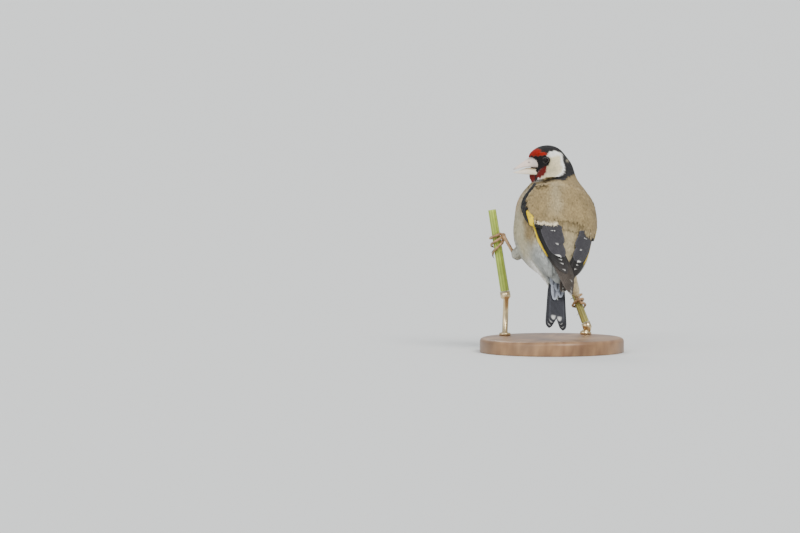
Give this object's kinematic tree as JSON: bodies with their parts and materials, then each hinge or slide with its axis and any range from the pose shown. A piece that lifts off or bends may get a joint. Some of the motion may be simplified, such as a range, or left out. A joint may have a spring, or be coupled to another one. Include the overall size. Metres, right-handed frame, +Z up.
{
  "type": "goldfinch model",
  "caption": "Life-size still model of a small finch with a red face and yellow wing bars, gripping two cut stems on a display stand.",
  "frame": {"origin": "middle of the stand's underside, on the floor", "axes": "+Z up, -Y towards the side that the bird's back faces, +X to the right as seen from that side, so the bill points to -X"},
  "size_m": [0.076, 0.088, 0.1078],
  "materials": {
    "base_wood": "satin varnish",
    "bill": "horn, satin",
    "claw": "horn, satin",
    "eye": "glossy, opaque",
    "leg_skin": "scaled skin, satin",
    "plumage_body": "soft feathers, matte",
    "plumage_head": "soft feathers, matte",
    "plumage_pale": "soft feathers, matte",
    "rod": "brushed",
    "stem_brown": "ribbed stalk",
    "stem_green": "smooth green stalk",
    "tail_feathers": "smooth vanes, faint sheen",
    "wing_feathers": "smooth vanes, faint sheen"
  },
  "bodies": {
    "root": {"bill_lower": "bill", "bill_upper": "bill", "claw_left_1": "claw", "claw_left_2": "claw", "claw_left_3": "claw", "claw_left_4": "claw", "claw_right_1": "claw", "claw_right_2": "claw", "claw_right_3": "claw", "claw_right_4": "claw", "eye_left": "eye", "eye_right": "eye", "foot_left": "leg_skin", "foot_right": "leg_skin", "head": "plumage_head", "neck": "plumage_body", "perch_left": "stem_green", "perch_right": "stem_brown", "rump": "plumage_pale", "shank_left": "leg_skin", "shank_right": "leg_skin", "stand_base": "base_wood", "stand_rod_left": "rod", "stand_rod_right": "rod", "tail": "tail_feathers", "thigh_left": "plumage_pale", "thigh_right": "plumage_pale", "torso": "plumage_body", "wing_left": "wing_feathers", "wing_right": "wing_feathers"}
  },
  "joints": []
}
